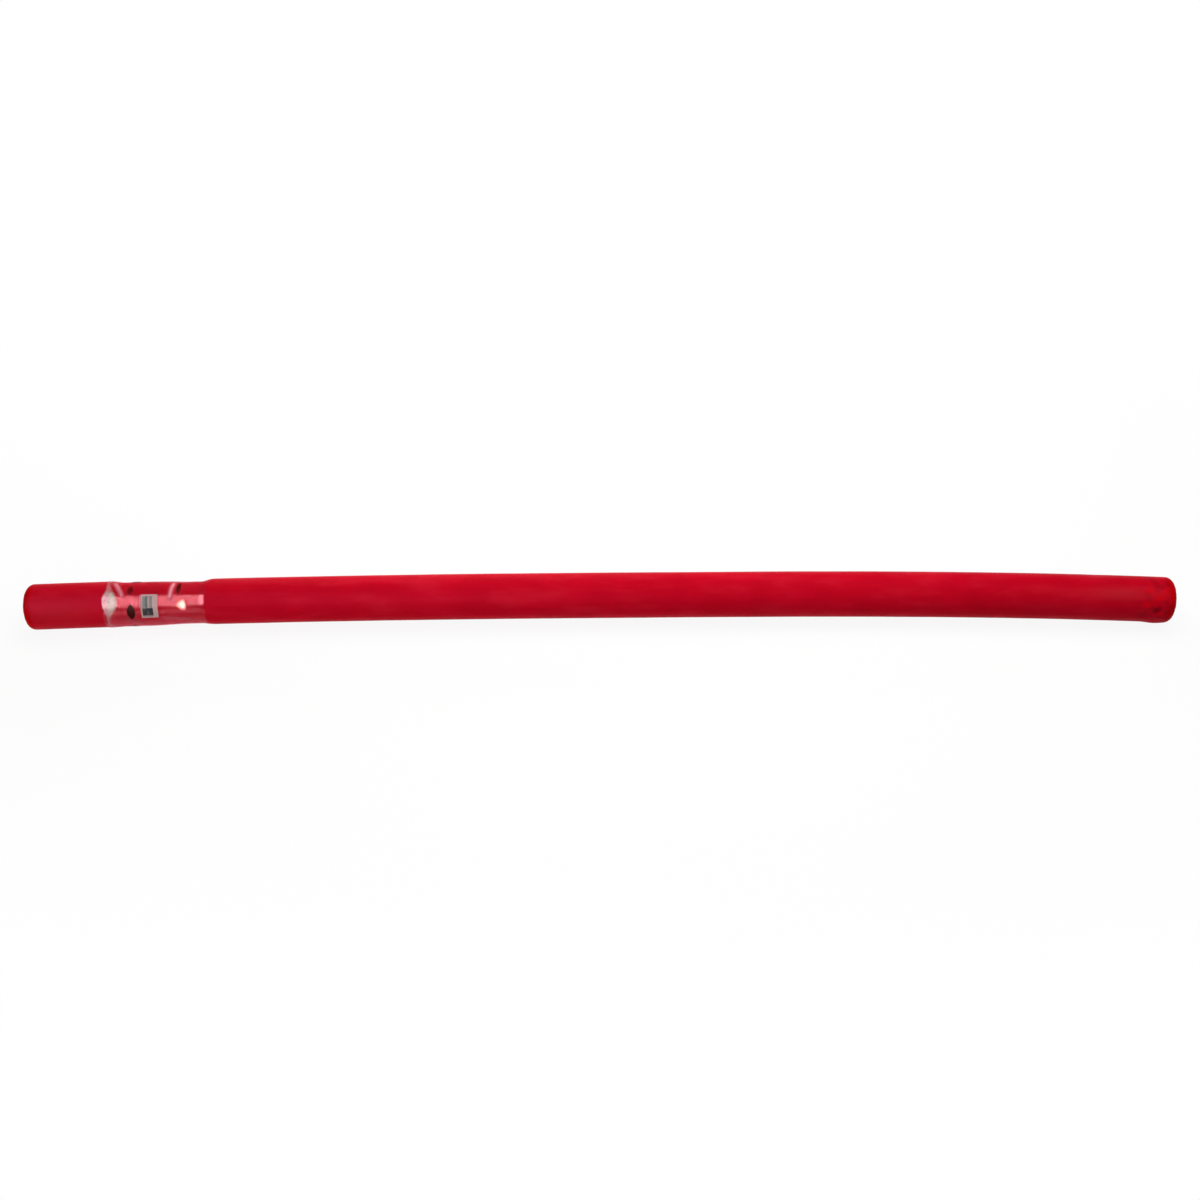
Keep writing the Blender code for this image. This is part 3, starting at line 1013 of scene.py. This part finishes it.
# Pale border: diamonds round the noodle, joined by a thin band. The diamond that faces the viewer is
# both print and a painted highlight, the flared edge's glare. Widths are half the whole, and what
# the diamonds have is added to the band's. The edges are where each goes from nothing to full ink.
DIAMONDS = 3
DIAMOND_TURN = math.radians(-88.0)
BAND_MIDDLE = 0.0056
BAND_WIDTH = 0.0024
DIAMOND_MIDDLE = 0.0045
DIAMOND_WIDTH = 0.0078
DIAMOND_POINTEDNESS = 3.0
CRISP_EDGE = (-0.0015, 0.0015)
SOFT_EDGE = (-0.0062, 0.0012)
BORDER_AND_GLARE_SHARE = 0.68

# A row of leaves round the film: its middle along the film, the angle of its first leaf in degrees,
# and each leaf's reach round the film and along it.
LeafRow = namedtuple("LeafRow", "middle count first length width")

DARK_LEAVES = LeafRow(middle=0.0362, count=3, first=32.0, length=0.0112, width=0.0052)
FAINT_LEAVES = LeafRow(middle=0.0350, count=3, first=92.0, length=0.0080, width=0.0046)
# Painted shade: a row of two faint dark streaks, the top one beside a fold.
FOLD_SHADE_STREAKS = LeafRow(middle=0.0968, count=2, first=100.0, length=0.0130, width=0.0030)
FAINT_LEAF_SHARE = 0.22
FOLD_SHADE_STREAK_SHARE = 0.34


def band(recipe, value, half_width, soft):
    """1 where a value is within half a width of zero, with a soft edge."""
    return recipe.between(recipe.math("ABSOLUTE", value), half_width - soft, half_width + soft, 1.0, 0.0)


def diamond_border(recipe, along, angle):
    """Pale border near the film's left edge: crisp on the left of each diamond and soft on its right."""
    turned = recipe.math("MULTIPLY_ADD", angle, DIAMONDS / 2, DIAMOND_TURN)
    crest = recipe.math("ABSOLUTE", recipe.math("COSINE", turned))
    middle = recipe.math("MULTIPLY_ADD", crest, DIAMOND_MIDDLE, BAND_MIDDLE)
    pointed = recipe.math("POWER", crest, DIAMOND_POINTEDNESS)
    half_width = recipe.math("MULTIPLY_ADD", pointed, DIAMOND_WIDTH, BAND_WIDTH)
    off = recipe.math("SUBTRACT", along, middle)
    left = recipe.between(recipe.math("ADD", off, half_width), *CRISP_EDGE)
    right = recipe.between(recipe.math("SUBTRACT", off, half_width), *SOFT_EDGE, 1.0, 0.0)
    paler = recipe.between(crest, 0.60, 1.0, 0.32, 1.0)
    return recipe.math("MULTIPLY", recipe.math("MULTIPLY", left, right), paler)


def leaf_marks(recipe, along, angle, row):
    """Pointed leaves round the film, evenly spaced."""
    spacing = 2.0 * math.pi / row.count
    turned = recipe.math("SUBTRACT", angle, math.radians(row.first) - spacing / 2)
    turns = recipe.math("MULTIPLY", turned, 1.0 / spacing)
    within = recipe.math("SUBTRACT", recipe.math("FRACT", turns), 0.5)
    across = recipe.math("MULTIPLY", within, spacing * NOODLE_RADIUS / row.length)
    off = recipe.math("MULTIPLY", recipe.math("SUBTRACT", along, row.middle), 1.0 / row.width)
    edge = recipe.math("ADD", recipe.math("ABSOLUTE", off), recipe.math("MULTIPLY", across, across))
    return recipe.between(edge, 0.85, 1.15, 1.0, 0.0)


def bare_film(recipe, angle, crinkle, bump):
    """Clear film, with a gloss that is stronger where it lies loose."""
    facing = recipe.add("ShaderNodeLayerWeight", {"Blend": 0.5}).outputs["Facing"]
    tightness = recipe.math("COSINE", recipe.math("SUBTRACT", angle, TIGHT_FILM_ANGLE))
    at_a_glance = recipe.between(tightness, math.cos(LOOSE_FILM_TURN), math.cos(TIGHT_FILM_TURN),
                                 LOOSE_GLOSS, TIGHT_GLOSS)
    mirror = recipe.math("MULTIPLY_ADD", recipe.math("POWER", facing, 2.0), at_a_glance, STRAIGHT_GLOSS)
    rough = recipe.between(crinkle, 0.3, 0.7, 0.12, 0.21)
    clear = recipe.shader("ShaderNodeBsdfTransparent", {"Color": CLEAR_TINT})
    gloss = recipe.shader("ShaderNodeBsdfGlossy", {"Color": GLOSS_TINT, "Roughness": rough, "Normal": bump})
    return recipe.mix_shaders(mirror, clear, gloss)


def hazy_film(recipe, film, mottle):
    """The film with a little haze, and a painted highlight on its folds, drawn as a pale diffuse layer."""
    fold_highlight = recipe.mark("fold_painted_highlight")
    haze = recipe.between(mottle, 0.42, 0.70, 0.0, HAZE_SHARE)
    # Painted highlight: a pale pink diffuse share on the folds.
    haze = recipe.math("MULTIPLY_ADD", fold_highlight, FOLD_HIGHLIGHT_SHARE, haze)
    haze_and_fold_highlight = recipe.shader("ShaderNodeBsdfDiffuse", {"Color": recipe.blend(fold_highlight, HAZE_TINT, FOLD_HIGHLIGHT_TINT)})
    return recipe.mix_shaders(haze, film, haze_and_fold_highlight)


def printed_film(recipe, film, along, angle, crinkle, mottle, bump):
    """The film's print: pale diamonds, one also painted glare, dark and faint leaves, painted fold shade.
    """
    leaves = leaf_marks(recipe, along, angle, DARK_LEAVES)
    faint = recipe.math("MULTIPLY", leaf_marks(recipe, along, angle, FAINT_LEAVES), FAINT_LEAF_SHARE)
    streaks = recipe.math("MULTIPLY", leaf_marks(recipe, along, angle, FOLD_SHADE_STREAKS), FOLD_SHADE_STREAK_SHARE)
    leaves = recipe.math("MAXIMUM", leaves, recipe.math("MAXIMUM", faint, streaks))
    print_wear = recipe.between(crinkle, 0.25, 0.60, 0.70, 1.0)
    # The pale border's diamond on the viewer's side is also a painted highlight, the flared edge's glare.
    pale = recipe.math("MULTIPLY", diamond_border(recipe, along, angle), BORDER_AND_GLARE_SHARE)
    pale = recipe.math("MULTIPLY", pale, print_wear)
    cream = recipe.blend(recipe.between(along, *CREAM_RUN), EDGE_PINK, CREAM)
    leaf = recipe.blend(recipe.between(mottle, 0.40, 0.62), LEAF_DARK, LEAF_BROWN)
    pale_ink_and_glare = recipe.shader("ShaderNodeBsdfPrincipled", {
        "Base Color": cream, "Roughness": 0.22, "Specular IOR Level": 0.14, "Normal": bump})
    dark_ink_and_shade = recipe.shader("ShaderNodeBsdfPrincipled", {
        "Base Color": leaf, "Roughness": 0.45, "Specular IOR Level": 0.02, "Normal": bump})
    ink = recipe.mix_shaders(recipe.between(leaves, 0.0, 0.20), pale_ink_and_glare, dark_ink_and_shade)
    return recipe.mix_shaders(recipe.math("MAXIMUM", pale, leaves), film, ink)


def film_material():
    """Clear glossy film with a little haze, a plain print of diamonds and leaves, and painted light and
    shade.
    """
    recipe = Recipe(bpy.data.materials.new("printed_clear_film"))
    place = recipe.object_place()
    along, around, _ = recipe.split(recipe.map_place("sleeve_print"))
    angle = recipe.math("MULTIPLY", around, 1.0 / NOODLE_RADIUS)
    crinkle = recipe.clouds(place, scale=170.0, detail=3.0)
    mottle = recipe.clouds(place, scale=60.0, detail=2.0)
    bump = recipe.bump(crinkle, strength=0.20, distance=0.0006)
    film = hazy_film(recipe, bare_film(recipe, angle, crinkle, bump), mottle)
    return recipe.finish(printed_film(recipe, film, along, angle, crinkle, mottle, bump))


# Paper sticker.

# Colours of the label paper, from its fibres to its stains, and of its inks.
PAPER_SHADE = (0.46, 0.29, 0.29, 1.0)
PAPER_LIGHT = (0.55, 0.355, 0.35, 1.0)
PAPER_STAIN = (0.44, 0.27, 0.28, 1.0)
BAR_INK = (0.062, 0.120, 0.110, 1.0)
FIELD_INK = (0.004, 0.008, 0.014, 1.0)

# Columns of the bars to the metre, the share of them that stays blank, and the print's soft edge.
BAR_COLUMNS = 1900.0
BLANK_COLUMNS = 0.19
PRINT_SOFTNESS = 0.00012

# Blocks of the print: the middle and half the size of each, along the sticker and up from its middle.
BARS_BLOCK = ((-0.0027, 0.0058), (0.0064, 0.0078))
FIELD_BLOCK = ((-0.0021, -0.0076), (0.0068, 0.0053))
RULE_BLOCK = ((-0.0025, -0.0144), (0.0062, 0.0003))


def make_sticker():
    """A rounded paper rectangle, rolled onto the film."""
    bm = bmesh.new()
    bmesh.ops.create_grid(bm, x_segments=STICKER_COLUMNS, y_segments=STICKER_ROWS, size=0.5)
    bmesh.ops.scale(bm, vec=(STICKER_LENGTH, STICKER_HEIGHT, 1.0), verts=bm.verts)
    corners = [v for v in bm.verts if len(v.link_faces) == 1]
    round_corners(bm, corners, STICKER_CORNER, STICKER_CORNER_STEPS)
    layer = bm.loops.layers.uv.new("sticker_print")
    for face in bm.faces:
        for loop in face.loops:
            loop[layer].uv = (loop.vert.co.x, loop.vert.co.y)
    for v in bm.verts:
        station = STICKER_STATION + v.co.x
        angle = STICKER_ANGLE + v.co.y / NOODLE_RADIUS
        v.co = on_noodle(station, film_radius(station, angle) + FILM_THICKNESS + STICKER_GAP, angle)
    bmesh.ops.recalc_face_normals(bm, faces=bm.faces)
    sticker = build_object("barcode_sticker_paper", bm)
    thicken(sticker, "paper_thickness", STICKER_THICKNESS)
    return sticker


def block(recipe, across, up, middle, half_size):
    """1 inside a rectangle of the sticker's print."""
    inside = band(recipe, recipe.math("SUBTRACT", across, middle[0]), half_size[0], PRINT_SOFTNESS)
    level = band(recipe, recipe.math("SUBTRACT", up, middle[1]), half_size[1], PRINT_SOFTNESS)
    return recipe.math("MULTIPLY", inside, level)


def sticker_material():
    """Label paper with plain bars that stand for no number, a dark field and a thin rule under it."""
    recipe = Recipe(bpy.data.materials.new("label_paper"))
    place = recipe.map_place("sticker_print")
    across, up, _ = recipe.split(place)
    fibre = recipe.clouds(place, scale=900.0, detail=3.0)
    stain = recipe.clouds(place, scale=130.0, detail=2.0)
    paper = recipe.blend(fibre, PAPER_SHADE, PAPER_LIGHT)
    paper = recipe.blend(recipe.between(stain, 0.45, 0.7, 0.0, 0.5), paper, PAPER_STAIN)

    column = recipe.math("FLOOR", recipe.math("MULTIPLY", across, BAR_COLUMNS))
    draw = recipe.add("ShaderNodeTexWhiteNoise", {"W": column}, noise_dimensions="1D").outputs["Value"]
    bars = recipe.math("GREATER_THAN", draw, BLANK_COLUMNS)
    bars = recipe.math("MULTIPLY", bars, block(recipe, across, up, *BARS_BLOCK))
    field = block(recipe, across, up, *FIELD_BLOCK)
    rule = block(recipe, across, up, *RULE_BLOCK)
    printed = recipe.math("MAXIMUM", bars, recipe.math("MAXIMUM", field, rule))
    printed = recipe.math("MULTIPLY", printed, recipe.between(stain, 0.3, 0.6, 0.86, 1.0))
    ink = recipe.blend(field, BAR_INK, FIELD_INK)
    return recipe.finish(recipe.shader("ShaderNodeBsdfPrincipled", {
        "Base Color": recipe.blend(printed, paper, ink),
        "Roughness": recipe.between(fibre, 0.3, 0.7, 0.50, 0.68),
        "Normal": recipe.bump(fibre, strength=0.25, distance=0.0001),
        "Specular IOR Level": 0.06}))


# Every piece, on its body and in its node's place.

def settle(piece, node, material):
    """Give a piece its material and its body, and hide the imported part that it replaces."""
    piece.data.materials.append(material)
    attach(piece, "root")
    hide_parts(node)


foam = make_foam()
sleeve = make_sleeve()
sticker = make_sticker()
settle(foam, "foam_noodle", foam_material())
settle(sleeve, "film_sleeve", film_material())
settle(sticker, "barcode_sticker", sticker_material())
